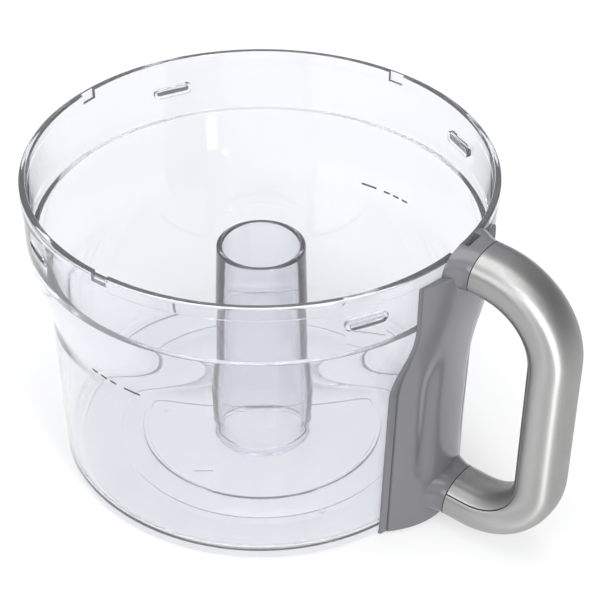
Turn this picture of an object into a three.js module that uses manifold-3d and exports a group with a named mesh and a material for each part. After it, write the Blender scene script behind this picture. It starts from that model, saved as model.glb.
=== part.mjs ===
// Removable bowl of a food processor: clear bowl with an open centre tube, grey cover piece
// on its wall, D-shaped grip, and the spring-loaded rod that a lid presses to free the switch.
// Millimetres, +Z up, handle toward +X. Shapes are drawn about the bowl's axis; the whole
// assembly is then shifted so that the origin lies at the bottom centre of its bounding box.
import * as THREE from 'three';
import { mergeVertices } from 'three/addons/utils/BufferGeometryUtils.js';
import Module from 'manifold-3d';

const wasm = await Module();
wasm.setup();

// ---------------------------------------------------------------- driving dimensions
const gap = 0.4; // clearance left between fitted pieces
const ROUND = 56; // segments of a full turn on the bowl

const rim = { radius: 103, top: 145.1, bottom: 139.4, thick: 3.2, edge: 1.2 };
const wall = { thick: 2.5, foot: 87, low: 91.3, high: 93.4, highZ: 76, corner: 4.3 };
const collar = { radius: 102.1, inner: 99.6, startZ: 119 };
const ledge = { radius: 96.9, z: 115.3, innerEndZ: 72 };
const floor = { top: 4.8, under: 2.4, corner: 5, footLand: 2.6, ribRadius: 66 };
const platform = { radius: 56, flat: 24.5, corner: 12, top: 6.2, skin: 2.4, turn: 36.5 };
const tube = { topOuter: 19.8, topInner: 17.1, lowOuter: 22.8, lowInner: 19.9, top: 104.2 };
const lug = { count: 4, first: 61, length: 19, height: 5.5, z: 130, face: 97.4, pocket: 99.2 };
const notch = { first: -2.5, width: 7.7, depth: 1.6, height: 4.6 };

const cover = { half: 28, low: 1.5, top: 138.9, skin: 1.6, edge: 1.9, groove: 1.9 };
const flange = { wide: 3.2, narrow: 0.3, edge: 1.2, taper: [80, 110] };
const faceX = { low: 101.2, mid: 102.6, high: 108.4, rise: [70, 135] };
const oval = { n: 10, b: 13, power: 2.3 }; // half sizes of the grip's section
const shell = { thick: 1.8, split: 122 };
const core = { n: 7.8, b: 10.8, thick: 2.2 };
const gripPath = {
  corners: [[112, 138.2], [148.1, 134.7], [146.4, 12.2], [107.4, 15.4]],
  radii: [34, 28],
};
const rod = { x: 96.2, topX: 104.15, thick: 1.6, width: 7, foot: 1.5, pin: 1.9, shoulder: 31.2 };
const rodBend = { low: 62, high: 118 };
const rodHead = { low: 136.6, top: 142.6, width: 9, thick: 2.6, x: 105, tongue: 0.9 };
const channel = { width: 9.6, low: 9, top: 56, bore: 7.6, wall: 1.3 };
const coil = { radius: 2.6, wire: 0.3, low: 13.3, top: 30.8, turns: 7 };
const rootScrew = { y: 7.4, upperHeadX: 104.9, lowerHeadX: 95.4, shank: 1.4, head: 2.5 };
const coverScrew = { x: 94, y: 8.3, head: 2.4, shank: 1.2, tab: [6.4, 8.2] };
const coreScrew = { head: 2.7, shank: 1.4, headY: 9.6, tipY: 7.4 };

// ---------------------------------------------------------------- solid-making helpers
const degrees = THREE.MathUtils.degToRad;

function toSolid(geometry) {
  const plain = geometry.clone();
  plain.deleteAttribute('normal');
  plain.deleteAttribute('uv');
  const merged = mergeVertices(plain, 1e-4);
  const kept = [];
  const index = merged.index.array;
  for (let i = 0; i < index.length; i += 3) {
    const [a, b, c] = [index[i], index[i + 1], index[i + 2]];
    if (a !== b && b !== c && c !== a) kept.push(a, b, c);
  }
  const vertProperties = new Float32Array(merged.attributes.position.array);
  const build = (triVerts) => {
    const mesh = new wasm.Mesh({ numProp: 3, vertProperties, triVerts });
    return new wasm.Manifold(mesh);
  };
  const solid = build(new Uint32Array(kept));
  if (solid.volume() > 0) return solid;
  return build(new Uint32Array(kept.reverse()));
}

function toGeometry(solid) {
  const mesh = solid.getMesh();
  const geometry = new THREE.BufferGeometry();
  const position = new THREE.BufferAttribute(new Float32Array(mesh.vertProperties), 3);
  geometry.setAttribute('position', position);
  geometry.setIndex(new THREE.BufferAttribute(new Uint32Array(mesh.triVerts), 1));
  geometry.computeVertexNormals();
  return geometry;
}

// Solid through a row of closed outlines with equal point counts, capped at both ends.
function loft(rings, outline) {
  const count = rings[0].length;
  const position = rings.flat().flatMap((point) => point.toArray());
  const index = [];
  for (let i = 0; i + 1 < rings.length; i += 1) {
    for (let j = 0; j < count; j += 1) {
      const [a, b] = [i * count + j, i * count + ((j + 1) % count)];
      index.push(a, b, b + count, a, b + count, a + count);
    }
  }
  const last = (rings.length - 1) * count;
  for (const [a, b, c] of THREE.ShapeUtils.triangulateShape(outline, [])) {
    index.push(c, b, a, last + a, last + b, last + c);
  }
  const geometry = new THREE.BufferGeometry();
  geometry.setAttribute('position', new THREE.Float32BufferAttribute(position, 3));
  geometry.setIndex(index);
  return toSolid(geometry);
}

function turned(profile, segments = ROUND) {
  const geometry = new THREE.LatheGeometry(profile, segments);
  geometry.rotateX(Math.PI / 2);
  return toSolid(geometry);
}

function prism(shape, low, high, curveSegments = 5) {
  const options = { depth: high - low, bevelEnabled: false, curveSegments };
  return toSolid(new THREE.ExtrudeGeometry(shape, options).translate(0, 0, low));
}

// Outline in the XZ plane, given as [x, z] pairs, with an even thickness about y.
function plateAcross(points, y, thick) {
  const shape = new THREE.Shape(points.map(([x, z]) => new THREE.Vector2(x, z)));
  const options = { depth: thick, bevelEnabled: false };
  const geometry = new THREE.ExtrudeGeometry(shape, options);
  geometry.rotateX(Math.PI / 2);
  return toSolid(geometry.translate(0, y + thick / 2, 0));
}

function box([x0, x1], [y0, y1], [z0, z1]) {
  const geometry = new THREE.BoxGeometry(x1 - x0, y1 - y0, z1 - z0);
  return toSolid(geometry.translate((x0 + x1) / 2, (y0 + y1) / 2, (z0 + z1) / 2));
}

// Cylinder between two heights along its own axis ('x', 'y' or 'z'), through a centre point.
function rodAlong(axis, radius, [from, to], [u, v], segments = 12) {
  const geometry = new THREE.CylinderGeometry(radius, radius, to - from, segments);
  geometry.translate(0, (from + to) / 2, 0);
  if (axis === 'x') geometry.rotateZ(-Math.PI / 2).translate(0, u, v);
  if (axis === 'y') geometry.translate(u, 0, v);
  if (axis === 'z') geometry.rotateX(Math.PI / 2).translate(u, v, 0);
  return toSolid(geometry);
}

// Points of a quarter-like bend from a to b around a control point.
function bend(a, control, b, steps) {
  const [p, q, r] = [a, control, b].map(([x, y]) => new THREE.Vector2(x, y));
  return new THREE.QuadraticBezierCurve(p, q, r).getPoints(steps);
}

// Points of an S-shaped run between two upright lines.
function sweepBetween([r0, z0], [r1, z1], steps) {
  const third = (z1 - z0) / 3;
  const points = [[r0, z0], [r0, z0 + third], [r1, z1 - third], [r1, z1]];
  const controls = points.map(([x, y]) => new THREE.Vector2(x, y));
  return new THREE.CubicBezierCurve(...controls).getPoints(steps);
}

function ringPoints(radius, low, high) {
  return [
    new THREE.Vector2(radius.inner, low),
    new THREE.Vector2(radius.outer, low),
    new THREE.Vector2(radius.outer, high),
    new THREE.Vector2(radius.inner, high),
    new THREE.Vector2(radius.inner, low),
  ];
}

// ---------------------------------------------------------------- bowl
// Outer outline of the bowl from foot to rim bead, pushed outward by a clearance.
function outerOutline(clearance = 0) {
  const low = wall.low + clearance;
  const high = wall.high + clearance;
  const upper = collar.radius + clearance;
  return [
    ...bend([wall.foot, -clearance], [low, -clearance], [low, wall.corner], 4),
    ...sweepBetween([high, wall.highZ], [upper, collar.startZ], 6),
    new THREE.Vector2(upper + 0.2, rim.bottom - 1 - clearance),
    new THREE.Vector2(rim.radius + clearance, rim.bottom - clearance),
  ];
}

function bowlShell() {
  const inner = rim.radius - rim.thick;
  const edgeZ = rim.top - rim.edge;
  const lowInner = wall.high - wall.thick;
  const cornerWall = wall.low - wall.thick;
  const hub = tube.lowOuter - 1;
  const footInner = wall.foot - floor.footLand;
  const point = (r, z) => new THREE.Vector2(r, z);
  return turned([
    ...outerOutline(),
    ...bend([rim.radius, edgeZ], [rim.radius, rim.top], [rim.radius - rim.edge, rim.top], 3),
    ...bend([inner + rim.edge, rim.top], [inner, rim.top], [inner, edgeZ], 3),
    point(collar.inner, ledge.z),
    ...sweepBetween([ledge.radius, ledge.z], [lowInner, ledge.innerEndZ], 6),
    ...bend(
      [cornerWall, floor.top + floor.corner],
      [cornerWall, floor.top],
      [cornerWall - floor.corner, floor.top],
      4,
    ),
    point(hub, floor.top),
    point(hub, floor.under),
    point(floor.ribRadius - 1, floor.under),
    point(floor.ribRadius, floor.under - 1),
    point(floor.ribRadius + 1, floor.under),
    point(footInner, floor.under),
    point(footInner, 0),
    point(wall.foot, 0),
  ]);
}

// Circle cut by one flat, with rounded corners where the flat meets the circle.
function platformShape(inset) {
  const [big, flat] = [platform.radius - inset, platform.flat - inset];
  const corner = platform.corner - inset;
  const centreY = flat - corner;
  const centreX = Math.sqrt((big - corner) ** 2 - centreY ** 2);
  const lean = Math.atan2(centreY, centreX);
  const shape = new THREE.Shape();
  shape.absarc(centreX, centreY, corner, Math.PI / 2, lean, true);
  shape.absarc(0, 0, big, lean, Math.PI - lean - 2 * Math.PI, true);
  shape.absarc(-centreX, centreY, corner, Math.PI - lean, Math.PI / 2, true);
  return shape;
}

function centreTube() {
  const edge = 1.2;
  const fillet = 1.4;
  const base = tube.lowOuter;
  const sunk = platform.top - 0.3;
  const topZ = tube.top;
  const point = (r, z) => new THREE.Vector2(r, z);
  return turned([
    point(tube.lowInner, 0.6),
    point(base, 0.6),
    point(base, sunk - 1),
    ...bend([base + fillet, sunk], [base, sunk], [base, sunk + fillet], 3),
    ...bend([tube.topOuter, topZ - edge], [tube.topOuter, topZ], [tube.topOuter - edge, topZ], 2),
    ...bend([tube.topInner + edge, topZ], [tube.topInner, topZ], [tube.topInner, topZ - edge], 2),
    point(tube.lowInner, 0.6),
  ], 32);
}

function pillShape(length, height) {
  const radius = height / 2;
  const half = length / 2 - radius;
  const shape = new THREE.Shape();
  shape.absarc(half, 0, radius, -Math.PI / 2, Math.PI / 2, false);
  shape.absarc(-half, 0, radius, Math.PI / 2, (3 * Math.PI) / 2, false);
  return shape;
}

// Pill standing on the collar: its length runs round the bowl, its depth from r0 to r1.
function pillOnCollar(length, height, r0, r1, angle) {
  const options = { depth: r1 - r0, bevelEnabled: false, curveSegments: 3 };
  const geometry = new THREE.ExtrudeGeometry(pillShape(length, height), options);
  geometry.rotateX(Math.PI / 2).rotateZ(Math.PI / 2);
  geometry.translate(r0, 0, lug.z).rotateZ(degrees(angle));
  return toSolid(geometry);
}

function outerRadiusAt(z) {
  const points = outerOutline();
  const above = points.findIndex((point) => point.y >= z);
  const [a, b] = [points[above - 1], points[above]];
  return THREE.MathUtils.mapLinear(z, a.y, b.y, a.x, b.x);
}

// Tab on the wall that a cover screw passes through.
function screwTab(side) {
  const y = side * coverScrew.y;
  const tab = box([89.5, coverScrew.x + 2.6], [y - 2.6, y + 2.6], coverScrew.tab);
  const hole = rodAlong('z', coverScrew.shank + 0.3, [0, 20], [coverScrew.x, y]);
  return tab.subtract(hole);
}

function makeBowl() {
  let bowl = bowlShell();
  const turn = [0, 0, platform.turn];
  const raised = prism(platformShape(0), floor.top - 1, platform.top).rotate(turn);
  const hollow = prism(platformShape(platform.skin), -1, platform.top - platform.skin);
  const tubeHole = rodAlong('z', tube.lowOuter - 0.6, [-1, 12], [0, 0], 32);
  bowl = bowl.add(raised).subtract(hollow.rotate(turn)).subtract(tubeHole);
  bowl = bowl.add(centreTube());
  for (let i = 0; i < lug.count; i += 1) {
    const angle = lug.first + (360 / lug.count) * i;
    const boss = pillOnCollar(lug.length, lug.height, lug.face, collar.inner + 1, angle);
    const pocket = pillOnCollar(lug.length - 3, lug.height - 3, lug.pocket, 104, angle);
    bowl = bowl.add(boss).subtract(pocket);
    const inside = rim.radius - rim.thick;
    const cut = box(
      [inside - 1, inside + notch.depth],
      [-notch.width / 2, notch.width / 2],
      [rim.top - notch.height, rim.top + 1],
    );
    bowl = bowl.subtract(cut.rotate([0, 0, notch.first + (360 / lug.count) * i]));
  }
  for (const side of [-1, 1]) {
    bowl = bowl.add(screwTab(side));
  }
  return toGeometry(bowl);
}

// ---------------------------------------------------------------- grip path and sections
// Centre line of the grip in the XZ plane as [x, z, tangent x, tangent z].
function gripLine(arcSteps = 6) {
  const corners = gripPath.corners.map(([x, z]) => new THREE.Vector2(x, z));
  const line = [];
  const put = (point, tangent) => line.push([point.x, point.y, tangent.x, tangent.y]);
  const direction = (a, b) => b.clone().sub(a).normalize();
  put(corners[0], direction(corners[0], corners[1]));
  for (let i = 1; i < corners.length - 1; i += 1) {
    const incoming = direction(corners[i - 1], corners[i]);
    const outgoing = direction(corners[i], corners[i + 1]);
    const turn = Math.acos(incoming.dot(outgoing));
    const radius = gripPath.radii[i - 1];
    const start = corners[i].clone().addScaledVector(incoming, -radius * Math.tan(turn / 2));
    const inward = new THREE.Vector2(incoming.y, -incoming.x);
    const centre = start.clone().addScaledVector(inward, radius);
    for (let step = 0; step <= arcSteps; step += 1) {
      const angle = (-turn * step) / arcSteps;
      const zero = new THREE.Vector2();
      put(start.clone().rotateAround(centre, angle), incoming.clone().rotateAround(zero, angle));
    }
  }
  put(corners[3], direction(corners[2], corners[3]));
  return line;
}

// Point of a rounded-oval outline; angle 0 points away from the inside of the loop.
function ovalPoint(halfN, halfB, angle) {
  const bend = (value) => Math.sign(value) * Math.abs(value) ** (2 / oval.power);
  return new THREE.Vector2(halfN * bend(Math.cos(angle)), halfB * bend(Math.sin(angle)));
}

function ovalArc(halfN, halfB, from, to, steps) {
  const points = [];
  for (let i = 0; i <= steps; i += 1) {
    points.push(ovalPoint(halfN, halfB, degrees(THREE.MathUtils.lerp(from, to, i / steps))));
  }
  return points;
}

function fullOval(halfN, halfB, steps = 24) {
  return ovalArc(halfN, halfB, 0, 360, steps).slice(0, -1);
}

// Solid swept along a line; sizes may widen the outline, ring by ring, as [n, b] factors.
function sweep(line, outline, sizes = line.map(() => [1, 1])) {
  const rings = line.map(([x, z, tx, tz], i) => outline.map((point) => {
    const [n, b] = [point.x * sizes[i][0], point.y * sizes[i][1]];
    return new THREE.Vector3(x - tz * n, b, z + tx * n);
  }));
  return loft(rings, outline);
}

// Straight run of the grip's line from one end, stretched by signed distances along it.
function endRun(which, distances) {
  const line = gripLine();
  const [x, z, tx, tz] = which === 'upper' ? line[0] : line[line.length - 1];
  return distances.map((d) => [x + tx * d, z + tz * d, tx, tz]);
}

// ---------------------------------------------------------------- handle cover
function frontFaceX(z) {
  const rise = THREE.MathUtils.smoothstep(z, ...faceX.rise);
  const low = THREE.MathUtils.lerp(faceX.low, faceX.mid, THREE.MathUtils.smoothstep(z, 20, 90));
  return THREE.MathUtils.lerp(low, faceX.high, rise);
}

function wallRadiusBehind(z) {
  return outerRadiusAt(THREE.MathUtils.clamp(z, 5, 137));
}

// Outer surface of the cover: a hump over its width, with a soft groove beside the face.
function coverSurface(y, z, inset) {
  const edgeX = Math.sqrt((wallRadiusBehind(z) + gap + cover.edge) ** 2 - cover.half ** 2);
  const across = Math.min(Math.abs(y) / cover.half, 1);
  const hump = 1 - across ** 2.3;
  const low = THREE.MathUtils.smoothstep(z, 22, 42);
  const high = 1 - THREE.MathUtils.smoothstep(z, 80, 104);
  const groove = cover.groove * low * high * Math.exp(-(((Math.abs(y) - 16) / 3.4) ** 2));
  return edgeX + (frontFaceX(z) - edgeX) * hump - groove - inset;
}

// Low flange beside the hump, as [x, y] from its inner to its outer edge. It narrows upward.
function flangePoints(side, z) {
  const { wide, narrow, edge, taper } = flange;
  const width = THREE.MathUtils.lerp(wide, narrow, THREE.MathUtils.smoothstep(z, ...taper));
  const radius = wallRadiusBehind(z) + gap + edge;
  return [0, width].map((out) => {
    const y = cover.half + out;
    return new THREE.Vector2(Math.sqrt(radius ** 2 - y ** 2), side * y);
  });
}

function saddle(half, inset, backX, low, top, withFlange = false) {
  const across = 24;
  const heights = 14;
  const outlineAt = (z) => {
    const outline = [];
    for (let i = 0; i <= across; i += 1) {
      const y = THREE.MathUtils.lerp(-half, half, i / across);
      outline.push(new THREE.Vector2(coverSurface(y, z, inset), y));
    }
    const [first, last] = withFlange ? [flangePoints(-1, z), flangePoints(1, z)] : [[], []];
    const edgeY = withFlange ? last[1].y : half;
    const back = [new THREE.Vector2(backX, edgeY), new THREE.Vector2(backX, -edgeY)];
    return [...first.reverse(), ...outline, ...last, ...back];
  };
  const rings = [];
  for (let i = 0; i <= heights; i += 1) {
    const z = THREE.MathUtils.lerp(low, top, i / heights);
    rings.push(outlineAt(z).map((point) => new THREE.Vector3(point.x, point.y, z)));
  }
  return loft(rings, outlineAt(low));
}

// Solid that fills the bowl out to its outer surface plus the clearance.
function bowlClearance() {
  const points = outerOutline(gap);
  const outline = [
    new THREE.Vector2(0, -gap - 4),
    new THREE.Vector2(wall.foot, -gap - 4),
    ...points,
    new THREE.Vector2(rim.radius + gap, rim.top + 20),
    new THREE.Vector2(0, rim.top + 20),
  ];
  return turned(outline);
}

function rootScrewAt(which) {
  const z = which === 'upper' ? gripPath.corners[0][1] - 3.2 : gripPath.corners[3][1] + 2.4;
  const headX = which === 'upper' ? rootScrew.upperHeadX : rootScrew.lowerHeadX;
  return { z, headX };
}

function stub(which) {
  const runs = which === 'upper' ? [-10, -7, -4, -1.6, -0.4] : [12, 8, 5, 2, 0.4];
  const flare = [[1.02, 1.3], [1.01, 1.17], [1, 1.05], [1, 1], [1, 1]];
  return sweep(endRun(which, runs), fullOval(oval.n, oval.b), flare);
}

function socket(which) {
  const runs = which === 'upper' ? [-2.2, 2] : [5.4, -2];
  return sweep(endRun(which, runs), fullOval(core.n + gap, core.b + gap));
}

function coverBoss(side) {
  const [x, y] = [coverScrew.x, side * coverScrew.y];
  const post = rodAlong('z', 2.3, [coverScrew.tab[1] + gap, 14], [x, y]);
  const web = box([x, x + 5], [y - 1.2, y + 1.2], [coverScrew.tab[1] + gap, 14]);
  const pilot = rodAlong('z', coverScrew.shank + 0.3, [0, 13], [x, y]);
  return post.add(web).subtract(pilot);
}

function makeCover() {
  let body = saddle(cover.half, 0, 80, cover.low, cover.top, true);
  body = body.add(stub('upper')).add(stub('lower'));
  const inner = saddle(cover.half - 3.4, cover.skin, 78, cover.low - 1, cover.top - cover.skin);
  body = body.subtract(inner).subtract(socket('upper')).subtract(socket('lower'));
  for (const side of [-1, 1]) body = body.add(coverBoss(side));
  body = body.subtract(bowlClearance());
  const slot = box(
    [rodHead.x - 3, rodHead.x + rodHead.thick / 2 + gap],
    [-rodHead.width / 2 - gap, rodHead.width / 2 + gap],
    [cover.top - cover.skin - 6, rim.top + 12],
  );
  body = body.subtract(slot);
  for (const which of ['upper', 'lower']) {
    const { z, headX } = rootScrewAt(which);
    for (const side of [-1, 1]) {
      const at = [side * rootScrew.y, z];
      const hole = rodAlong('x', rootScrew.shank + 0.3, [headX, headX + 18], at);
      const sink = rodAlong('x', rootScrew.head + 0.3, [headX - 6, headX + 2.2], at);
      body = body.subtract(hole).subtract(sink);
    }
  }
  return toGeometry(body);
}

// ---------------------------------------------------------------- grip shells and core
function shellOutline(from, to, steps) {
  const outside = ovalArc(oval.n, oval.b, from, to, steps);
  const inside = ovalArc(oval.n - shell.thick, oval.b - shell.thick, from, to, steps);
  return [...outside, ...inside.reverse()];
}

function makeOuterShell() {
  return toGeometry(sweep(gripLine(), shellOutline(-shell.split, shell.split, 18)));
}

function makeInnerShell() {
  const seam = 2.2; // degrees left open on each side of the parting line
  const outline = shellOutline(shell.split + seam, 360 - shell.split - seam, 8);
  return toGeometry(sweep(gripLine(), outline));
}

// The core screws sit on the grip's line: mid-bend above, mid-run, and mid-bend below.
function coreScrewSpots(arcSteps = 6) {
  const line = gripLine(arcSteps);
  const half = arcSteps / 2;
  const [above, below] = [line[arcSteps + 1], line[arcSteps + 2]];
  return {
    top: line[1 + half].slice(0, 2),
    middle: [(above[0] + below[0]) / 2, (above[1] + below[1]) / 2],
    bottom: line[arcSteps + 2 + half].slice(0, 2),
  };
}

function coreHalf(side) {
  const line = gripLine();
  const full = [...endRun('upper', [-1.6]), ...line, ...endRun('lower', [1.6])];
  const [from, to] = side > 0 ? [1, 179] : [181, 359];
  const outside = ovalArc(core.n, core.b, from, to, 10);
  const hollow = ovalArc(core.n - core.thick, core.b - core.thick, from, to, 10);
  let half = sweep(full, [...outside, ...hollow.reverse()]);
  for (const which of ['upper', 'lower']) {
    const runs = which === 'upper' ? [-1.6, 4.6] : [1.6, -7.6];
    half = half.add(sweep(endRun(which, runs), outside));
    const { z, headX } = rootScrewAt(which);
    const at = [side * rootScrew.y, z];
    half = half.subtract(rodAlong('x', rootScrew.shank + 0.3, [headX, headX + 17], at));
  }
  for (const [x, z] of Object.values(coreScrewSpots())) {
    const reach = side * (core.b - 1.2);
    const span = side > 0 ? [0.15, reach] : [reach, -0.15];
    half = half.add(rodAlong('y', 3.6, span, [x, z]));
    half = half.subtract(rodAlong('y', coreScrew.shank + 0.3, [-14, coreScrew.tipY + 0.4], [x, z]));
    const headFrom = -coreScrew.headY - gap;
    half = half.subtract(rodAlong('y', coreScrew.head + 0.3, [-14, headFrom + 2.8], [x, z]));
  }
  return toGeometry(half);
}

// ---------------------------------------------------------------- screws
// Pan-head screw along +Z, underside of the head at z = 0, with a cross recess in the head.
function screwSolid(head, headHeight, shank, length) {
  const profile = [
    [0, length], [shank, length - 2 * shank], [shank, 0], [head, 0],
    [head * 0.8, -headHeight], [0, -headHeight],
  ].map(([r, z]) => new THREE.Vector2(r, z));
  let screw = turned(profile, 12);
  const deep = [-headHeight - 1, -headHeight * 0.45];
  screw = screw.subtract(box([-head * 0.55, head * 0.55], [-0.35, 0.35], deep));
  return screw.subtract(box([-0.35, 0.35], [-head * 0.55, head * 0.55], deep));
}

function makeCoreScrew(x, z) {
  const screw = screwSolid(coreScrew.head, 2, coreScrew.shank, coreScrew.headY - 2 + 7);
  const placed = screw.rotate([-90, 0, 0]).translate([x, 2 - coreScrew.headY, z]);
  return toGeometry(placed);
}

function makeRootScrew(which, side) {
  const { z, headX } = rootScrewAt(which);
  const screw = screwSolid(rootScrew.head, 1.7, rootScrew.shank, 13);
  return toGeometry(screw.rotate([0, 90, 0]).translate([headX + 1.8, side * rootScrew.y, z]));
}

function makeCoverScrew(side) {
  const screw = screwSolid(coverScrew.head, 1.7, coverScrew.shank, 6.2);
  const z = coverScrew.tab[0] - 0.3;
  return toGeometry(screw.translate([coverScrew.x, side * coverScrew.y, z]));
}

// ---------------------------------------------------------------- lid interlock
function makeRod() {
  const half = rod.thick / 2;
  const stripTop = rodHead.low - gap;
  const bends = [
    [rod.x, rod.shoulder], [rod.x, rodBend.low], [rod.topX, rodBend.high], [rod.topX, stripTop],
  ];
  const outline = [
    ...bends.map(([x, z]) => [x + half, z]),
    ...bends.map(([x, z]) => [x - half, z]).reverse(),
  ];
  const tongueX = [rodHead.x - rodHead.tongue / 2, rodHead.x + rodHead.tongue / 2];
  const tongue = box(tongueX, [-2, 2], [stripTop - 1, rodHead.top - 1.8]);
  const pin = rodAlong('z', rod.pin, [rod.foot + 0.8, rod.shoulder + 0.5], [rod.x, 0]);
  const tip = rodAlong('z', rod.pin - 0.5, [rod.foot, rod.foot + 2], [rod.x, 0]);
  return toGeometry(plateAcross(outline, 0, rod.width).add(tongue).add(pin).add(tip));
}

// Cap on the rod's tongue; the lid's tab lands on its flat top.
function makeRodHead() {
  const spanX = (inset) => {
    const half = rodHead.thick / 2 - inset;
    return [rodHead.x - half, rodHead.x + half];
  };
  const half = rodHead.width / 2;
  const block = box(spanX(0), [-half, half], [rodHead.low, rodHead.top]);
  const step = box([90, 120], [-half + 1.2, half - 1.2], [rodHead.top - 0.6, 150]);
  const pocketX = [rodHead.x - rodHead.tongue / 2 - 0.3, rodHead.x + rodHead.tongue / 2 + 0.3];
  const pocket = box(pocketX, [-2.3, 2.3], [rodHead.low - 1, rodHead.top - 1.4]);
  return toGeometry(block.subtract(step).subtract(pocket));
}

function makeChannel() {
  const halfY = channel.width / 2;
  const half = rod.thick / 2 + 0.3;
  const outer = [rod.x - half - channel.wall, rod.x + half + channel.wall];
  const inY = [-channel.bore / 2, channel.bore / 2];
  let body = box(outer, [-halfY, halfY], [channel.low, channel.top]);
  const slide = box([rod.x - half, rod.x + half], inY, [channel.low + 20, 90]);
  const window = box([80, 110], inY, [channel.low + 3, rod.shoulder + 1.4]);
  const hole = rodAlong('z', rod.pin + 0.3, [0, 20], [rod.x, 0]);
  body = body.subtract(slide).subtract(window).subtract(hole);
  return toGeometry(body);
}

function makeChannelCap() {
  const top = channel.low - gap;
  const plate = box([rod.x - 2.6, rod.x + 2.2], [-4.8, 4.8], [top - 2.4, top]);
  const hole = rodAlong('z', rod.pin + 0.3, [0, 20], [rod.x, 0]);
  return toGeometry(plate.subtract(hole));
}

function makeSpring() {
  const stepsPerTurn = 10;
  const steps = coil.turns * stepsPerTurn;
  const section = [];
  for (let i = 0; i < 6; i += 1) {
    const angle = (Math.PI / 3) * i;
    section.push(new THREE.Vector2(Math.cos(angle), Math.sin(angle)).multiplyScalar(coil.wire));
  }
  const rings = [];
  for (let i = 0; i <= steps; i += 1) {
    const angle = (2 * Math.PI * i) / stepsPerTurn;
    const z = THREE.MathUtils.lerp(coil.low + coil.wire, coil.top - coil.wire, i / steps);
    rings.push(section.map((point) => {
      const radius = coil.radius + point.x;
      return new THREE.Vector3(
        rod.x + radius * Math.cos(angle), radius * Math.sin(angle), z + point.y,
      );
    }));
  }
  return toGeometry(loft(rings, section));
}

function makeSpringSeat() {
  const radius = { inner: rod.pin + 0.3, outer: 2.95 };
  const washer = turned(ringPoints(radius, coil.low - 1, coil.low - 0.3), 16);
  return toGeometry(washer.translate([rod.x, 0, 0]));
}

// ---------------------------------------------------------------- materials and assembly
function material(color, roughness, metalness = 0) {
  return new THREE.MeshStandardMaterial({ color, roughness, metalness });
}

const finishes = {
  clear: () => material(0xdde6ee, 0.08),
  grey: () => material(0x84858a, 0.22),
  satin: () => material(0xc6c4c0, 0.34, 0.9),
  dark: () => material(0x3a3b3e, 0.5),
  steel: () => material(0xb8bcc0, 0.3, 1),
};

function add(parent, name, geometry, finish) {
  const mesh = new THREE.Mesh(geometry, finishes[finish]());
  mesh.name = name;
  parent.add(mesh);
}

const group = new THREE.Group();
add(group, 'bowl', makeBowl(), 'clear');
add(group, 'handle_cover', makeCover(), 'grey');
add(group, 'grip_outer_shell', makeOuterShell(), 'satin');
add(group, 'grip_inner_shell', makeInnerShell(), 'satin');
add(group, 'core_left', coreHalf(1), 'dark');
add(group, 'core_right', coreHalf(-1), 'dark');
for (const [spot, [x, z]] of Object.entries(coreScrewSpots())) {
  add(group, `core_screw_${spot}`, makeCoreScrew(x, z), 'steel');
}
for (const [hand, side] of [['left', 1], ['right', -1]]) {
  add(group, `root_screw_upper_${hand}`, makeRootScrew('upper', side), 'steel');
  add(group, `root_screw_lower_${hand}`, makeRootScrew('lower', side), 'steel');
  add(group, `cover_screw_${hand}`, makeCoverScrew(side), 'steel');
}
add(group, 'rod_channel', makeChannel(), 'dark');
add(group, 'channel_cap', makeChannelCap(), 'dark');
add(group, 'push_rod', makeRod(), 'dark');
add(group, 'rod_head', makeRodHead(), 'dark');
add(group, 'rod_spring', makeSpring(), 'steel');
add(group, 'spring_seat', makeSpringSeat(), 'steel');

// The origin lies under the middle of the assembly's bounding box.
const bounds = new THREE.Box3().setFromObject(group);
group.position.x = -(bounds.min.x + bounds.max.x) / 2;

export default group;
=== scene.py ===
import math

import bmesh
import bpy
from mathutils import Matrix, Vector


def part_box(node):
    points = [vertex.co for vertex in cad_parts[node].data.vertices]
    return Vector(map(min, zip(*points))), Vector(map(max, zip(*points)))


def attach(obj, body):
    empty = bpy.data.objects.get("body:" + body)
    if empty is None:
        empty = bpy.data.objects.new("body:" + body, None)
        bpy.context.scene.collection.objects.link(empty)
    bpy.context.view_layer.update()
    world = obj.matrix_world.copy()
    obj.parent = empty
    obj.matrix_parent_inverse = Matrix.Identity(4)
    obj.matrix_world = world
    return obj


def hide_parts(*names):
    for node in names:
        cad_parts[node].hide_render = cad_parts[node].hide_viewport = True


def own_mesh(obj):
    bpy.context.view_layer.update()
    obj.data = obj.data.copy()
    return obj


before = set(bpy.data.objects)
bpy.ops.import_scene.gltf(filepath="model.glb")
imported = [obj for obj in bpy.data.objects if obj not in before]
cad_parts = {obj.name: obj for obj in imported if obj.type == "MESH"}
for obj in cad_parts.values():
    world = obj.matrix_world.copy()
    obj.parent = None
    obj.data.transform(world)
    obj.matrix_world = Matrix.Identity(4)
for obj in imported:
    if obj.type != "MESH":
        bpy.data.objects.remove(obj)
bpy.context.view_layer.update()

# ---------------------------------------------------------------- driving dimensions
# Millimetres, drawn about the bowl's own axis; every mesh is scaled and shifted at the end.
MM = 0.001
bowl_low, bowl_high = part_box("bowl")
AXIS = Vector(((bowl_low.x + bowl_high.x) / 2, 0, 0))
BODY = "bowl_body"
GAP = 0.4

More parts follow.
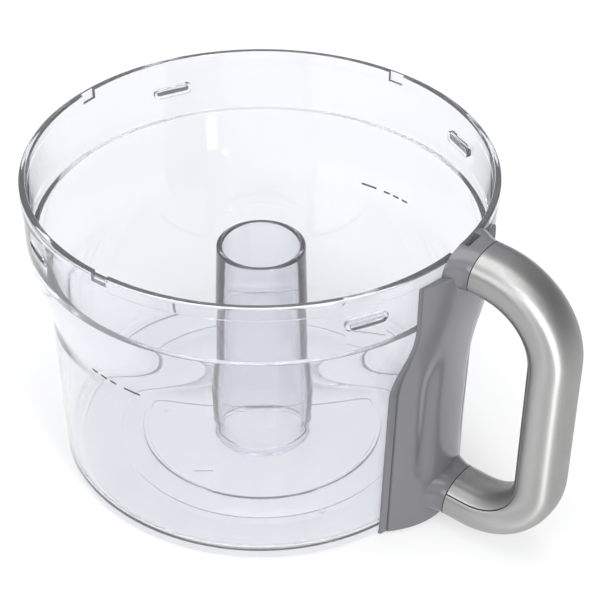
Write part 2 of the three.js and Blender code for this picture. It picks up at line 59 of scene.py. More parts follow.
RIM = {"radius": 103.0, "top": 145.1, "bottom": 139.4, "thick": 3.2, "edge": 1.2}
WALL = {"thick": 2.5, "foot": 87.0, "low": 91.3, "high": 93.4, "high_z": 76.0, "corner": 4.3}
COLLAR = {"radius": 102.1, "inner": 99.6, "start_z": 119.0}
LEDGE = {"radius": 96.9, "z": 115.3, "inner_end_z": 72.0}
FLOOR = {"top": 4.8, "under": 2.4, "corner": 5.0, "land": 2.6, "rib_radius": 66.0}
PLATFORM = {"radius": 56.0, "flat": 24.5, "corner": 12.0, "top": 6.2, "skin": 2.4, "turn": 36.5}
TUBE = {"top_outer": 19.8, "top_inner": 17.1, "low_outer": 22.8, "low_inner": 19.9,
        "top": 104.2, "low": 0.6, "edge": 1.2, "fillet": 1.4, "sunk": 0.3}
MARK = {"radius": 1.4, "proud": 0.4}
LUG = {"first": 61.0, "length": 19.0, "height": 5.5, "z": 130.0, "face": 97.4, "pocket": 99.2}
NOTCH = {"first": -2.5, "width": 7.7, "depth": 1.6, "height": 4.6}
TAB = {"inner": 89.5, "half": 2.6, "low": 6.4, "high": 8.2, "hole": 1.5}
DASH = {"z": 83.9, "height": 1.0, "low": 0.01, "high": 0.05}
COVER = {"half": 28.0, "low": 1.5, "top": 138.9, "skin": 1.6, "edge": 1.9, "round": 0.8}
GROOVE = {"y": 16.0, "spread": 3.4, "depth": 1.9, "rise": (22, 42), "fall": (80, 104)}
FLANGE = {"wide": 3.2, "narrow": 0.3, "edge": 1.2, "taper": (80, 110), "seam": 0.5, "cut": 0.8}
BOSS = {"radius": 2.3, "web": 5.0, "web_half": 1.2, "low": 8.6, "high": 14.0, "pilot_top": 13.0}
FACE_X = {"low": 101.2, "mid": 102.6, "high": 108.4, "rise": (70, 135)}
OVAL = {"n": 10.0, "b": 13.0, "power": 2.3, "shell": 1.8, "split": 122.0, "seam": 1.2}
CORE = {"n": 7.8, "b": 10.8}
GRIP_CORNERS = [(112.0, 138.2), (148.1, 134.7), (146.4, 12.2), (107.4, 15.4)]
GRIP_RADII = [34.0, 28.0]
COIL = {"radius": 2.6, "wire": 0.3, "low": 13.3, "top": 30.8, "turns": 7}
DARK_SIDE = (0.8, 0.55, 0.25)  # direction in which the studio room is darker
QUARTERS = range(4)
SIDES = (-1, 1)


# ---------------------------------------------------------------- small maths
def lerp(a, b, t):
    return a + (b - a) * t


def smooth(value, low, high):
    t = min(max((value - low) / (high - low), 0.0), 1.0)
    return t * t * (3 - 2 * t)


def bend(a, control, b, steps):
    """Quarter-like bend from a to b round a control point."""
    points = []
    for i in range(steps + 1):
        t = i / steps
        weights = ((1 - t) ** 2, 2 * t * (1 - t), t * t)
        points.append(tuple(sum(w * p[k] for w, p in zip(weights, (a, control, b))) for k in (0, 1)))
    return points


def s_run(a, b, steps):
    """S-shaped run between two upright lines."""
    third = (b[1] - a[1]) / 3
    controls = (a, (a[0], a[1] + third), (b[0], b[1] - third), b)
    points = []
    for i in range(steps + 1):
        t = i / steps
        weights = ((1 - t) ** 3, 3 * t * (1 - t) ** 2, 3 * t * t * (1 - t), t ** 3)
        points.append(tuple(sum(w * p[k] for w, p in zip(weights, controls)) for k in (0, 1)))
    return points


# ---------------------------------------------------------------- mesh helpers
def make_object(name, vertices, faces):
    mesh = bpy.data.meshes.new(name)
    mesh.from_pydata([tuple(Vector(v) * MM + AXIS) for v in vertices], [], faces)
    work = bmesh.new()
    work.from_mesh(mesh)
    bmesh.ops.remove_doubles(work, verts=work.verts, dist=1e-7)
    bmesh.ops.recalc_face_normals(work, faces=work.faces)
    if work.calc_volume(signed=True) < 0:
        bmesh.ops.reverse_faces(work, faces=work.faces)
    work.to_mesh(mesh)
    work.free()
    made = bpy.data.objects.new(name, mesh)
    bpy.context.scene.collection.objects.link(made)
    return made


def loft(name, rings, closed=False):
    """Skin through rings of equal length, capped at both ends unless the row closes on itself."""
    count = len(rings[0])
    rows = len(rings)
    vertices = [point for ring in rings for point in ring]
    faces = []
    for i in range(rows if closed else rows - 1):
        for j in range(count):
            a, b = i * count, ((i + 1) % rows) * count
            k = (j + 1) % count
            faces.append((a + j, a + k, b + k, b + j))
    if not closed:
        faces.append(tuple(reversed(range(count))))
        faces.append(tuple(range((rows - 1) * count, rows * count)))
    return make_object(name, vertices, faces)


def lathe(name, profile, segments=160):
    """Closed profile of (radius, height) points turned about the bowl's axis."""
    rings = []
    for i in range(segments):
        turn = 2 * math.pi * i / segments
        rings.append([(r * math.cos(turn), r * math.sin(turn), z) for r, z in profile])
    return loft(name, rings, closed=True)


def prism(name, outline, low, high):
    return loft(name, [[(x, y, z) for x, y in outline] for z in (low, high)])


def block(name, xs, ys, zs):
    outline = [(xs[0], ys[0]), (xs[1], ys[0]), (xs[1], ys[1]), (xs[0], ys[1])]
    return prism(name, outline, zs[0], zs[1])


def circle(radius, centre=(0, 0), segments=48):
    turns = [2 * math.pi * i / segments for i in range(segments)]
    return [(centre[0] + radius * math.cos(t), centre[1] + radius * math.sin(t)) for t in turns]


def rotate(obj, degrees):
    """Turns a mesh about the bowl's axis."""
    shift = Matrix.Translation(AXIS)
    obj.data.transform(shift @ Matrix.Rotation(math.radians(degrees), 4, "Z") @ shift.inverted())
    return obj


def combine(target, operation, tools):
    """Joins or cuts target with the tools, which are used up."""
    group = bpy.data.collections.new("tools")
    bpy.context.scene.collection.children.link(group)
    for tool in tools:
        bpy.context.scene.collection.objects.unlink(tool)
        group.objects.link(tool)
    modifier = target.modifiers.new(operation, "BOOLEAN")
    modifier.operation = operation
    modifier.operand_type = "COLLECTION"
    modifier.collection = group
    modifier.solver = "EXACT"
    graph = bpy.context.evaluated_depsgraph_get()
    result = bpy.data.meshes.new_from_object(target.evaluated_get(graph))
    target.modifiers.clear()
    target.data = result
    for tool in tools:
        bpy.data.objects.remove(tool)
    bpy.data.collections.remove(group)
    return target


def soften(obj, degrees=32):
    """Smooth shading that keeps edges sharper than the given angle."""
    obj.data.shade_smooth()
    obj.data.set_sharp_from_angle(angle=math.radians(degrees))
    return obj


def finish_piece(obj, material, slot, *nodes):
    obj.data.materials.clear()
    obj.data.materials.append(material)
    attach(obj, BODY)
    if nodes:
        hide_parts(*nodes)
    return obj


# ---------------------------------------------------------------- materials
def new_material(name, **sockets):
    """Principled material; keyword names are its socket names with underscores for spaces."""
    made = bpy.data.materials.new(name)
    made.use_nodes = True
    shader = made.node_tree.nodes["Principled BSDF"]
    for key, value in sockets.items():
        shader.inputs[key.replace("_", " ")].default_value = value
    return made


def add_noise(material, scale, detail=3.0, stretch=(1, 1, 1)):
    nodes, links = material.node_tree.nodes, material.node_tree.links
    place = nodes.new("ShaderNodeTexCoord")
    mapping = nodes.new("ShaderNodeMapping")
    mapping.inputs["Scale"].default_value = stretch
    noise = nodes.new("ShaderNodeTexNoise")
    noise.inputs["Scale"].default_value = scale
    noise.inputs["Detail"].default_value = detail
    links.new(place.outputs["Object"], mapping.inputs["Vector"])
    links.new(mapping.outputs["Vector"], noise.inputs["Vector"])
    return noise.outputs["Fac"]


def vary(material, socket, fac, low, high):
    """Drives a socket with a noise, from one value or colour to another."""
    nodes, links = material.node_tree.nodes, material.node_tree.links
    ramp = nodes.new("ShaderNodeValToRGB")
    ramp.color_ramp.elements[0].position = 0.3
    ramp.color_ramp.elements[1].position = 0.7
    for element, value in zip(ramp.color_ramp.elements, (low, high)):
        element.color = (*value, 1) if isinstance(value, tuple) else (value, value, value, 1)
    links.new(fac, ramp.inputs["Fac"])
    shader = nodes["Principled BSDF"]
    links.new(ramp.outputs["Color"], shader.inputs[socket])


def add_bump(material, fac, strength, distance):
    nodes, links = material.node_tree.nodes, material.node_tree.links
    bump = nodes.new("ShaderNodeBump")
    bump.inputs["Strength"].default_value = strength
    bump.inputs["Distance"].default_value = distance
    links.new(fac, bump.inputs["Height"])
    links.new(bump.outputs["Normal"], nodes["Principled BSDF"].inputs["Normal"])


def clear_plastic():
    made = new_material("clear_plastic", Transmission_Weight=0.95, IOR=1.45)
    vary(made, "Base Color", add_noise(made, 9), (0.928, 0.935, 0.97), (0.942, 0.949, 0.98))
    vary(made, "Roughness", add_noise(made, 60), 0.01, 0.04)
    add_bump(made, add_noise(made, 25, 1.0), 0.02, 0.0004)
    return made


def grey_plastic():
    made = new_material("grey_plastic", IOR=1.45, Coat_Weight=0.2, Coat_Roughness=0.05)
    vary(made, "Base Color", add_noise(made, 14), (0.134, 0.134, 0.145), (0.142, 0.142, 0.154))
    vary(made, "Roughness", add_noise(made, 60), 0.2, 0.27)
    add_bump(made, add_noise(made, 1800, 1.0), 0.02, 0.00003)
    return made


def grip_metal():
    """Satin metal brushed round the grip, so that highlights run along it."""
    made = new_material("grip_metal", Metallic=1.0, Anisotropic=0.8)
    brushed = add_noise(made, 420, 4.0, stretch=(3, 0.4, 3))
    vary(made, "Base Color", add_noise(made, 30), (0.42, 0.416, 0.41), (0.45, 0.447, 0.44))
    vary(made, "Roughness", brushed, 0.42, 0.52)
    add_bump(made, brushed, 0.05, 0.00005)
    tangent = made.node_tree.nodes.new("ShaderNodeTangent")
    tangent.direction_type = "UV_MAP"
    tangent.uv_map = "along"
    shader = made.node_tree.nodes["Principled BSDF"]
    made.node_tree.links.new(tangent.outputs["Tangent"], shader.inputs["Tangent"])
    return made


def dark_plastic(name, low, high):
    made = new_material(name, IOR=1.46)
    vary(made, "Base Color", add_noise(made, 40), (low,) * 3, (high,) * 3)
    vary(made, "Roughness", add_noise(made, 400), 0.45, 0.6)
    add_bump(made, add_noise(made, 1500, 2.0), 0.15, 0.0001)
    return made


def steel(name, tone, low, high):
    made = new_material(name, Metallic=1.0)
    vary(made, "Base Color", add_noise(made, 120), (tone * 0.92,) * 3, (tone, tone, tone * 1.03))
    vary(made, "Roughness", add_noise(made, 700), low, high)
    add_bump(made, add_noise(made, 2500, 2.0), 0.06, 0.00005)
    return made


# ---------------------------------------------------------------- bowl
def outer_outline(clearance=0.0, steps=22):
    low, high = WALL["low"] + clearance, WALL["high"] + clearance
    upper = COLLAR["radius"] + clearance
    return [
        *bend((WALL["foot"], -clearance), (low, -clearance), (low, WALL["corner"]), 8),
        *s_run((high, WALL["high_z"]), (upper, COLLAR["start_z"]), steps),
        (upper + 0.2, RIM["bottom"] - 1 - clearance),
        (RIM["radius"] + clearance, RIM["bottom"] - clearance),
    ]


def outer_radius_at(z):
    points = outer_outline()
    for (r0, z0), (r1, z1) in zip(points, points[1:]):
        if z0 <= z <= z1 and z1 > z0:
            return lerp(r0, r1, (z - z0) / (z1 - z0))
    return points[-1][0]


def bowl_profile():
    inner = RIM["radius"] - RIM["thick"]
    top, edge = RIM["top"], RIM["edge"]
    corner_wall = WALL["low"] - WALL["thick"]
    hub = TUBE["low_outer"] - 1
    under, rib = FLOOR["under"], FLOOR["rib_radius"]
    inset = corner_wall - FLOOR["corner"]
    return [
        *outer_outline(),
        *bend((RIM["radius"], top - edge), (RIM["radius"], top), (RIM["radius"] - edge, top), 6),
        *bend((inner + edge, top), (inner, top), (inner, top - edge), 6),
        *bend((COLLAR["inner"], LEDGE["z"] + 0.4), (COLLAR["inner"], LEDGE["z"]),
              (COLLAR["inner"] - 0.4, LEDGE["z"]), 3),
        *bend((LEDGE["radius"] + 0.5, LEDGE["z"]), (LEDGE["radius"], LEDGE["z"]),
              (LEDGE["radius"], LEDGE["z"] - 0.5), 4),
        *s_run((LEDGE["radius"], LEDGE["z"] - 0.9),
               (WALL["high"] - WALL["thick"], LEDGE["inner_end_z"]), 22),
        *bend((corner_wall, FLOOR["top"] + FLOOR["corner"]), (corner_wall, FLOOR["top"]),
              (inset, FLOOR["top"]), 10),
        (hub, FLOOR["top"]),
        (hub, under),
        (rib - 1, under),
        (rib, under - 0.35),
        (rib + 1, under),
        (WALL["foot"] - FLOOR["land"], under),
        (WALL["foot"] - FLOOR["land"], 0),
    ]


def arc(centre, radius, start, end, steps):
    points = []
    for i in range(steps + 1):
        turn = lerp(start, end, i / steps)
        points.append((centre[0] + radius * math.cos(turn), centre[1] + radius * math.sin(turn)))
    return points


def platform_outline(inset):
    """Circle cut by one flat, with rounded corners where the flat meets the circle."""
    big, flat = PLATFORM["radius"] - inset, PLATFORM["flat"] - inset
    corner = PLATFORM["corner"] - inset
    y = flat - corner
    x = math.sqrt((big - corner) ** 2 - y ** 2)
    lean = math.atan2(y, x)
    return [
        *arc((x, y), corner, math.pi / 2, lean, 14),
        *arc((0, 0), big, lean, -math.pi - lean, 96)[1:],
        *arc((-x, y), corner, math.pi - lean, math.pi / 2, 14)[1:],
    ]


def raised_platform():
    """Platform with a softly rounded upper edge."""
    top = PLATFORM["top"]
    steps = 5
    rings = [[(x, y, FLOOR["top"] - 1) for x, y in platform_outline(0)]]
    for i in range(steps + 1):
        turn = math.pi / 2 * i / steps
        inset, z = 1.0 - math.cos(turn), top - 1.0 + math.sin(turn)
        rings.append([(x, y, z) for x, y in platform_outline(inset)])
    return rotate(loft("platform", rings), PLATFORM["turn"])


def floor_marks():
    """Two round dots and a small pad, barely proud of the floor and its platform."""
    floor, top = FLOOR["top"], PLATFORM["top"]
    radius, proud = MARK["radius"], MARK["proud"]
    marks = [
        prism("platform_dot", circle(radius, (-46, 3), 24), top - 1, top + proud),
        prism("floor_dot", circle(radius, (26, -64), 24), floor - 1, floor + proud + 0.05),
        block("pad", (-31.5, -22.5), (-38, -34), (top - 1, top + proud)),
    ]
    return [rotate(mark, PLATFORM["turn"]) for mark in marks]


def centre_tube():
    edge, fillet, base = TUBE["edge"], TUBE["fillet"], TUBE["low_outer"]
    sunk, top = PLATFORM["top"] - TUBE["sunk"], TUBE["top"]
    outer, inner, low = TUBE["top_outer"], TUBE["top_inner"], TUBE["low"]
    return lathe("tube", [
        (base, low),
        (base, sunk - 1),
        *bend((base + fillet, sunk), (base, sunk), (base, sunk + fillet), 6),
        *bend((outer, top - edge), (outer, top), (outer - edge, top), 6),
        *bend((inner + edge, top), (inner, top), (inner, top - edge), 6),
        (TUBE["low_inner"], low),
    ], 120)


def pill(length, height, steps=10):
    radius, half = height / 2, (length - height) / 2
    return [
        *arc((half, 0), radius, -math.pi / 2, math.pi / 2, steps),
        *arc((-half, 0), radius, math.pi / 2, 3 * math.pi / 2, steps),
    ]


def pill_on_collar(length, height, r0, r1, angle, round_face=0.0):
    """Pill whose length runs round the bowl; its face at r0 may have a rounded edge."""
    turns = [math.pi / 2 * i / 4 for i in range(5)] if round_face else [0.0]
    layers = [(r0 + round_face * (1 - math.cos(turn)), round_face * (1 - math.sin(turn)))
              for turn in turns]
    rings = []
    for depth, inset in (*layers, (r1, 0)):
        outline = pill(length - 2 * inset, height - 2 * inset)
        rings.append([(depth, u, LUG["z"] + v) for u, v in outline])
    return rotate(loft("pill", rings), angle)


def rim_notch(turn):
    inside = RIM["radius"] - RIM["thick"]
    half = NOTCH["width"] / 2
    cut = block("notch", (inside - 1, inside + NOTCH["depth"]), (-half, half),
                (RIM["top"] - NOTCH["height"], RIM["top"] + 1))
    return rotate(cut, turn)


def cover_screw_at(side):
    """Where a cover screw stands, in millimetres from the bowl's axis."""
    low, high = (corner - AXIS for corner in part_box("cover_screw_left"))
    return (low.x + high.x) / 2 / MM, side * (low.y + high.y) / 2 / MM


def screw_tab(side):
    """Tab inside the wall that takes a cover screw, and the hole through it."""
    x, y = cover_screw_at(side)
    half = TAB["half"]
    tab = block("tab", (TAB["inner"], x + half), (y - half, y + half), (TAB["low"], TAB["high"]))
    hole = prism("tab_hole", circle(TAB["hole"], (x, y)), 0, 20)
    return tab, hole


def make_bowl(material):
    bowl = lathe("bowl_clear", bowl_profile(), 192)
    combine(bowl, "UNION", [raised_platform()])
    under = PLATFORM["top"] - PLATFORM["skin"]
    hollow = prism("hollow", platform_outline(PLATFORM["skin"]), -1, under)
    shaft_hole = prism("shaft_hole", circle(TUBE["low_outer"] - 0.6, segments=120), -1, 12)
    combine(bowl, "DIFFERENCE", [rotate(hollow, PLATFORM["turn"]), shaft_hole])
    added = [centre_tube(), *floor_marks()]
    cut = []
    for i in QUARTERS:
        angle = LUG["first"] + 90 * i
        added.append(pill_on_collar(LUG["length"], LUG["height"], LUG["face"],
                                    COLLAR["inner"] + 1, angle, 0.6))
        cut.append(pill_on_collar(LUG["length"] - 3, LUG["height"] - 3, LUG["pocket"], 104, angle))
        cut.append(rim_notch(NOTCH["first"] + 90 * i))
    for side in SIDES:
        tab, hole = screw_tab(side)
        added.append(tab)
        cut.append(hole)
    combine(bowl, "UNION", added)
    combine(bowl, "DIFFERENCE", cut)
    soften(bowl)
    return finish_piece(bowl, material, "clear_plastic", "bowl")


def printed_dash(name, start, end, material):
    """Dash printed on the outside of the wall, between two angles in degrees."""
    steps = 8
    radius = outer_radius_at(DASH["z"])
    low, high = DASH["low"], DASH["high"]
    rings = []
    for i in range(steps + 1):
        turn = math.radians(lerp(start, end, i / steps))
        ring = []
        for r, h in ((low, -0.5), (high, -0.5), (high, 0.5), (low, 0.5)):
            out = radius + r
            ring.append((out * math.cos(turn), out * math.sin(turn), DASH["z"] + h * DASH["height"]))
        rings.append(ring)
    return finish_piece(loft(name, rings), material, "dark_plastic")


def make_fill_marks(material):
    """Plain level marks: three short dashes and a long one on each side of the bowl."""
    spans = [(-102.6, -100.4), (-99.2, -97.0), (-95.8, -93.6), (-91.0, -85.9)]
    for side, middle in (("front", 0.0), ("back", 181.0)):
        for i, (start, end) in enumerate(spans):
            printed_dash(f"fill_mark_{side}_{i + 1}", start + middle, end + middle, material)


# ---------------------------------------------------------------- grip
def grip_line(arc_steps=26):
    """Centre line of the grip in the XZ plane as (x, z, tangent x, tangent z)."""
    corners = [Vector(corner) for corner in GRIP_CORNERS]
    ways = [(b - a).normalized() for a, b in zip(corners, corners[1:])]
    line = [(*corners[0], *ways[0])]
    for corner, radius, before, after in zip(corners[1:3], GRIP_RADII, ways, ways[1:]):
        turn = math.acos(before.dot(after))
        start = corner - before * radius * math.tan(turn / 2)
        centre = start + Vector((before.y, -before.x)) * radius
        for step in range(arc_steps + 1):
            spin = Matrix.Rotation(-turn * step / arc_steps, 2)
            line.append((*(centre + spin @ (start - centre)), *(spin @ before)))
    line.append((*corners[3], *ways[2]))
    return line


def end_run(which, distances):
    x, z, tx, tz = grip_line()[0 if which == "upper" else -1]
    return [(x + tx * d, z + tz * d, tx, tz) for d in distances]


def oval(half_n, half_b, start=0.0, end=360.0, steps=96):
    points = []
    for i in range(steps + 1):
        turn = math.radians(lerp(start, end, i / steps))
        pair = []
        for half, value in ((half_n, math.cos(turn)), (half_b, math.sin(turn))):
            pair.append(half * math.copysign(abs(value) ** (2 / OVAL["power"]), value))
        points.append(tuple(pair))
    return points


def sweep(name, line, outline, sizes=None):
    rings = []
    for i, (x, z, tx, tz) in enumerate(line):
        wide, deep = sizes[i] if sizes else (1, 1)
        rings.append([(x - tz * n * wide, b * deep, z + tx * n * wide) for n, b in outline])
    return loft(name, rings)


def lay_uv_along(obj, line):
    """UV map whose U runs along the grip's line, for the direction of the brushing."""
    middle = Vector((sum(p[0] for p in line), 0, sum(p[1] for p in line))) / len(line)
    layer = obj.data.uv_layers.new(name="along")
    centre = middle * MM + AXIS
    for loop in obj.data.loops:
        away = obj.data.vertices[loop.vertex_index].co - centre
        turn = math.atan2(away.z, -away.x) / (2 * math.pi)
        layer.data[loop.index].uv = (turn, away.y)


def shell_outline(start, end, steps):
    """Band of the grip's oval with softly rounded lips at the parting line."""
    thick = OVAL["shell"]
    lip = 1.2
    outside = oval(OVAL["n"], OVAL["b"], start + lip, end - lip, steps)
    first = oval(OVAL["n"] - 0.35, OVAL["b"] - 0.35, start, end, 1)
    inside = oval(OVAL["n"] - thick, OVAL["b"] - thick, start, end, steps)
    return [first[0], *outside, first[1], *reversed(inside)]


def make_grip(material):
    split, seam = OVAL["split"], OVAL["seam"]
    line = grip_line()
    outer = sweep("grip_palm_side", line, shell_outline(-split, split, 72))
    inner = sweep("grip_finger_side", line, shell_outline(split + seam, 360 - split - seam, 36))
    for shell, node in ((outer, "grip_outer_shell"), (inner, "grip_inner_shell")):
        lay_uv_along(shell, line)
        finish_piece(soften(shell, 40), material, "grip_metal", node)


# ---------------------------------------------------------------- handle cover
def front_face_x(z):
    low = lerp(FACE_X["low"], FACE_X["mid"], smooth(z, 20, 90))
    return lerp(low, FACE_X["high"], smooth(z, *FACE_X["rise"]))


def wall_radius_behind(z):
    return outer_radius_at(min(max(z, 5.0), 137.0))


def cover_surface(y, z, inset):
    """Outer surface of the cover: a hump over its width, with a soft groove beside the face."""
    radius = wall_radius_behind(z)
    edge_x = math.sqrt((radius + GAP + COVER["edge"]) ** 2 - COVER["half"] ** 2)
    hump = 1 - min(abs(y) / COVER["half"], 1) ** 2.3
    fade = smooth(z, *GROOVE["rise"]) * (1 - smooth(z, *GROOVE["fall"]))
    beside = (abs(y) - GROOVE["y"]) / GROOVE["spread"]
    groove = GROOVE["depth"] * fade * math.exp(-(beside ** 2))
    return edge_x + (front_face_x(z) - edge_x) * hump - groove - inset


def flange_points(side, z, drop):
    """Low flange beside the hump, from its inner to its outer edge, behind a narrow seam."""
    taper = smooth(z, *FLANGE["taper"])
    width = lerp(FLANGE["wide"], FLANGE["narrow"], taper)
    seam = FLANGE["seam"] * (1 - taper)
    radius = wall_radius_behind(z) + GAP + FLANGE["edge"] - drop
    seam_steps = ((0, 0.9), (seam * 0.5, 0.9), (seam * 0.75, 0.2), (seam, 0))
    edge_steps = ((width - 0.12, 0), (width, 0.25))
    points = []
    for out, sink in (*seam_steps, *edge_steps):
        y = COVER["half"] + out + 0.02
        points.append((math.sqrt((radius - sink * FLANGE["cut"]) ** 2 - y ** 2), side * y, z))
    return points


def saddle_levels(low, top, edge, heights=70):
    """Heights of a saddle's rings, each with how far a rounded edge draws its surface in."""
    levels = [(lerp(low + edge, top - edge, i / heights), 0.0) for i in range(heights + 1)]
    if not edge:
        return levels
    turns = [math.pi / 2 * i / 5 for i in range(5)]
    drops = [edge * (1 - math.sin(turn)) for turn in turns]
    rises = [edge * (1 - math.cos(turn)) for turn in turns]
    below = [(low + rise, drop) for rise, drop in zip(rises, drops)]
    above = [(top - rise, drop) for rise, drop in zip(rises, drops)]
    return below + levels + above[::-1]


def saddle(name, half, inset, back_x, low, top, edge=0.0, with_flange=False):
    """Lofted saddle; its upper and lower outer edges may be rounded."""
    across = 72
    rings = []
    for z, drop in saddle_levels(low, top, edge):
        ring = []
        for i in range(across + 1):
            y = lerp(-half, half, i / across)
            ring.append((cover_surface(y, z, inset + drop), y, z))
        edge_y = half
        if with_flange:
            first, last = flange_points(-1, z, drop), flange_points(1, z, drop)
            ring = [*reversed(first), *ring, *last]
            edge_y = last[-1][1]
        ring += [(back_x, edge_y, z), (back_x, -edge_y, z)]
        rings.append(ring)
    return loft(name, rings)


def bowl_clearance():
    return lathe("clearance", [
        (0.01, -4.4),
        (WALL["foot"], -4.4),
        *outer_outline(GAP),
        (RIM["radius"] + GAP, RIM["top"] + 20),
        (0.01, RIM["top"] + 20),
    ], 192)


def stub(which):
    """Raised root that the grip's end stands on, flaring toward the cover."""
    steps = 16
    far = 10.0 if which == "upper" else 12.0
    direction = -1 if which == "upper" else 1
    distances, sizes = [], []
    for i in range(steps + 1):
        away = lerp(far, GAP, i / steps)
        distances.append(direction * away)
        flare = smooth(away, 1.6, far) * 0.3
        sizes.append((1 + flare * 0.07, 1 + flare))
    return sweep("stub", end_run(which, distances), oval(OVAL["n"], OVAL["b"])[:-1], sizes)


def socket(which):
    span = (-2.2, 2) if which == "upper" else (5.4, -2)
    return sweep("socket", end_run(which, span), oval(CORE["n"] + GAP, CORE["b"] + GAP)[:-1])


def screw_well(node):
    """Hole and countersink along X for a screw that runs from the cover into the grip."""
    low, high = (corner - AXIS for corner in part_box(node))
    y, z = (low.y + high.y) / 2 / MM, (low.z + high.z) / 2 / MM
    head_x = low.x / MM + 1
    tools = []
    for radius, start, end in ((1.7, head_x - 1, head_x + 18), (2.8, head_x - 7, head_x + 1.2)):
        rings = [[(x, y + u, z + v) for u, v in circle(radius, segments=32)] for x in (start, end)]
        tools.append(loft("well", rings))
    return tools


def cover_boss(side):
    """Post for a cover screw, the web that ties it to the cover, and its pilot hole."""
    x, y = cover_screw_at(side)
    low, high, half = BOSS["low"], BOSS["high"], BOSS["web_half"]
    post = prism("post", circle(BOSS["radius"], (x, y)), low, high)
    web = block("web", (x, x + BOSS["web"]), (y - half, y + half), (low, high))
    pilot = prism("pilot", circle(TAB["hole"], (x, y)), 0, BOSS["pilot_top"])
    return post, web, pilot


def make_cover(material):
    low, top, skin = COVER["low"], COVER["top"], COVER["skin"]
    cover = saddle("handle_root", COVER["half"], 0, 80, low, top, COVER["round"], with_flange=True)
    combine(cover, "UNION", [stub("upper"), stub("lower")])
    inner = saddle("hollow", COVER["half"] - 3.4, skin, 78, low - 1, top - skin)
    combine(cover, "DIFFERENCE", [inner, socket("upper"), socket("lower")])
    bosses = [cover_boss(side) for side in SIDES]
    combine(cover, "UNION", [part for post, web, _ in bosses for part in (post, web)])
    head_low, head_high = (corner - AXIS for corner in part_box("rod_head"))
    slot = block("slot", (102, head_high.x / MM + GAP),
                 (head_low.y / MM - GAP, head_high.y / MM + GAP), (top - skin - 6, 158))
    cuts = [bowl_clearance(), slot, *(pilot for _, _, pilot in bosses)]
    for place in ("upper_left", "upper_right", "lower_left", "lower_right"):
        cuts += screw_well(f"root_screw_{place}")
    combine(cover, "DIFFERENCE", cuts)
    soften(cover, 38)
    return finish_piece(cover, material, "grey_plastic", "handle_cover")


# ---------------------------------------------------------------- small metal pieces
def make_screw(node, axis, head, head_height, shank, material):
    """Pan-head screw with a cross recess, placed where its CAD node lies.

    The head sits at the low end of the given axis.
    """
    low, high = (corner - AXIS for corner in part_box(node))
    size = high - low
    k = "XYZ".index(axis)
    length = size[k] / MM
    profile = [(0.001, 0)]
    profile += bend((head * 0.55, 0), (head, 0), (head, head_height * 0.7), 6)
    profile += [(head, head_height), (shank, head_height), (shank, length - 2 * shank)]
    profile += [(0.001, length)]
    screw = lathe(f"{node}_detail", profile, 32)
    arms = [block("arm", (-0.35, 0.35), (-head * 0.55, head * 0.55), (-1, head_height * 0.6)),
            block("arm", (-head * 0.55, head * 0.55), (-0.35, 0.35), (-1, head_height * 0.6))]
    combine(screw, "DIFFERENCE", arms)
    turn = {"X": Matrix.Rotation(math.pi / 2, 4, "Y"), "Y": Matrix.Rotation(-math.pi / 2, 4, "X"),
            "Z": Matrix.Identity(4)}[axis]
    place = (low + high) / 2 + AXIS
    place[k] = low[k] + AXIS[k]
    screw.data.transform(Matrix.Translation(place) @ turn @ Matrix.Translation(-AXIS))
    soften(screw)
    return finish_piece(screw, material, "screw_steel", node)


def make_screws(material):
    for spot in ("top", "middle", "bottom"):
        make_screw(f"core_screw_{spot}", "Y", 2.7, 2.0, 1.4, material)
    for hand in ("left", "right"):
        make_screw(f"root_screw_upper_{hand}", "X", 2.5, 1.7, 1.4, material)
        make_screw(f"root_screw_lower_{hand}", "X", 2.5, 1.7, 1.4, material)
        make_screw(f"cover_screw_{hand}", "Z", 2.4, 1.7, 1.2, material)


def make_spring(material):
    low, high = (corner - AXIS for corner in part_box("spring_seat"))
    centre = (low + high) / 2 / MM
    steps_per_turn, sides = 32, 10
    steps = COIL["turns"] * steps_per_turn
    rings = []
    for i in range(steps + 1):
        turn = 2 * math.pi * i / steps_per_turn
        z = lerp(COIL["low"] + COIL["wire"], COIL["top"] - COIL["wire"], i / steps)
        ring = []
        for u, v in circle(COIL["wire"], segments=sides):
            radius = COIL["radius"] + u
            ring.append((centre.x + radius * math.cos(turn), radius * math.sin(turn), z + v))
        rings.append(ring)
    spring = soften(loft("return_spring", rings), 60)
    finish_piece(spring, material, "spring_steel", "rod_spring")
    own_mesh(spring)


def dress_cad_node(node, material, bevel=0.0):
    """Keeps a CAD node's shape, with a procedural material and slightly broken edges."""
    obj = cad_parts[node]
    obj.data.materials.clear()
    obj.data.materials.append(material)
    if bevel:
        modifier = obj.modifiers.new("edges", "BEVEL")
        modifier.width = bevel * MM
        modifier.segments = 2
        modifier.limit_method = "ANGLE"
        modifier.angle_limit = math.radians(50)


# ---------------------------------------------------------------- studio
def make_floor():
    """White light table: glows from below, so the clear bowl throws only a faint shadow."""
    size = 6.0
    mesh = bpy.data.meshes.new("floor")
    corners = [(-size, -size, 0), (size, -size, 0), (size, size, 0), (-size, size, 0)]
    mesh.from_pydata(corners, [], [(0, 1, 2, 3)])
    floor = bpy.data.objects.new("floor", mesh)
    bpy.context.scene.collection.objects.link(floor)
    material = new_material("light_table", Roughness=0.9, Specular_IOR_Level=0.1,
                            Emission_Color=(1, 1, 1, 1), Emission_Strength=0.56)
    vary(material, "Base Color", add_noise(material, 3), (0.4,) * 3, (0.42,) * 3)
    mesh.materials.append(material)


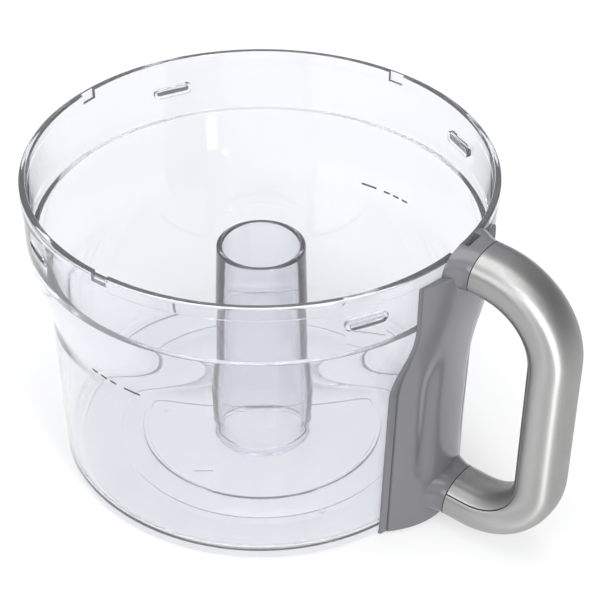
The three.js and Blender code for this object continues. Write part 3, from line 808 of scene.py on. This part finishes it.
def tone_by_height(nodes, links, direction):
    """Colour of the room from below the floor up to overhead."""
    split = nodes.new("ShaderNodeSeparateXYZ")
    ramp = nodes.new("ShaderNodeValToRGB")
    stops = [(0.0, (0.31, 0.33, 0.4)), (0.14, (0.37, 0.39, 0.45)),
             (0.42, (0.93, 0.94, 0.97)), (1.0, (1.0, 1.0, 1.02))]
    while len(ramp.color_ramp.elements) < len(stops):
        ramp.color_ramp.elements.new(0.5)
    for element, (position, tone) in zip(ramp.color_ramp.elements, stops):
        element.position = position
        element.color = (*tone, 1)
    links.new(direction, split.inputs["Vector"])
    links.new(split.outputs["Z"], ramp.inputs["Fac"])
    return ramp.outputs["Color"]


def shade_toward(nodes, links, direction, side):
    """Factor that falls from one to a quarter toward the given side of the room."""
    toward = nodes.new("ShaderNodeVectorMath")
    toward.operation = "DOT_PRODUCT"
    toward.inputs[1].default_value = side
    shade = nodes.new("ShaderNodeMapRange")
    shade.interpolation_type = "SMOOTHSTEP"
    for name, value in (("From Min", 0.35), ("From Max", 0.85), ("To Min", 1.0), ("To Max", 0.25)):
        shade.inputs[name].default_value = value
    links.new(direction, toward.inputs[0])
    links.new(toward.outputs["Value"], shade.inputs["Value"])
    return shade.outputs["Result"]


def make_world():
    """Pale studio room: bright overhead, darker toward the horizon and on one side."""
    world = bpy.data.worlds.new("studio")
    bpy.context.scene.world = world
    world.use_nodes = True
    nodes, links = world.node_tree.nodes, world.node_tree.links
    direction = nodes.new("ShaderNodeTexCoord").outputs["Generated"]
    dim = nodes.new("ShaderNodeVectorMath")
    dim.operation = "SCALE"
    links.new(tone_by_height(nodes, links, direction), dim.inputs[0])
    links.new(shade_toward(nodes, links, direction, DARK_SIDE), dim.inputs["Scale"])
    links.new(dim.outputs["Vector"], nodes["Background"].inputs["Color"])
    nodes["Background"].inputs["Strength"].default_value = 0.85


def add_softbox(name, position, size, power):
    light = bpy.data.lights.new(name, "AREA")
    light.shape = "RECTANGLE"
    light.size, light.size_y = size
    light.energy = power
    made = bpy.data.objects.new(name, light)
    made.location = position
    made.rotation_mode = "QUATERNION"
    made.rotation_quaternion = (Vector((0, 0, 0.07)) - Vector(position)).to_track_quat("-Z", "Y")
    made.visible_camera = False
    bpy.context.scene.collection.objects.link(made)


def make_lights():
    add_softbox("overhead", (0.0, 0.0, 1.9), (1.4, 1.4), 17)
    add_softbox("key", (1.3, -0.65, 1.15), (0.4, 0.5), 7)
    add_softbox("low_strip", (1.15, -0.62, 0.26), (0.16, 0.45), 8)
    add_softbox("fill", (-0.3, -1.4, 0.9), (0.7, 0.7), 6)


def make_camera():
    """Camera at the photograph's angle: heading, pitch and roll in degrees."""
    heading, pitch, roll = 34.838, 36.435, 0.514
    focal, sensor = 114.0, 36.0
    camera = bpy.data.cameras.new("camera")
    camera.sensor_width = sensor
    camera.lens = focal
    camera.shift_x, camera.shift_y = -0.00981, 0.00276
    camera.clip_start, camera.clip_end = 0.01, 50
    made = bpy.data.objects.new("camera", camera)
    turn = (Matrix.Rotation(math.radians(heading), 4, "Z")
            @ Matrix.Rotation(math.radians(90 - pitch), 4, "X")
            @ Matrix.Rotation(math.radians(roll), 4, "Z"))
    made.matrix_world = Matrix.Translation(AXIS + Vector((0.40974, -0.55373, 0.58114))) @ turn
    bpy.context.scene.collection.objects.link(made)
    bpy.context.scene.camera = made


def main():
    scene = bpy.context.scene
    make_camera()
    clear = clear_plastic()
    grey = grey_plastic()
    dark = dark_plastic("dark_plastic", 0.035, 0.05)
    rod_black = dark_plastic("rod_plastic", 0.05, 0.07)
    screw_steel = steel("screw_steel", 0.6, 0.22, 0.35)
    spring_steel = steel("spring_steel", 0.52, 0.18, 0.3)
    make_bowl(clear)
    make_fill_marks(dark)
    make_cover(grey)
    make_grip(grip_metal())
    make_screws(screw_steel)
    make_spring(spring_steel)
    for node in ("core_left", "core_right"):
        dress_cad_node(node, dark)
    for node in ("rod_channel", "channel_cap"):
        dress_cad_node(node, dark, bevel=0.2)
    for node in ("push_rod", "rod_head"):
        dress_cad_node(node, rod_black, bevel=0.25)
    dress_cad_node("spring_seat", spring_steel, bevel=0.1)
    make_floor()
    make_world()
    make_lights()
    scene.view_settings.view_transform = "Standard"
    scene.cycles.max_bounces = 24
    scene.cycles.transmission_bounces = 24
    scene.cycles.transparent_max_bounces = 24


main()
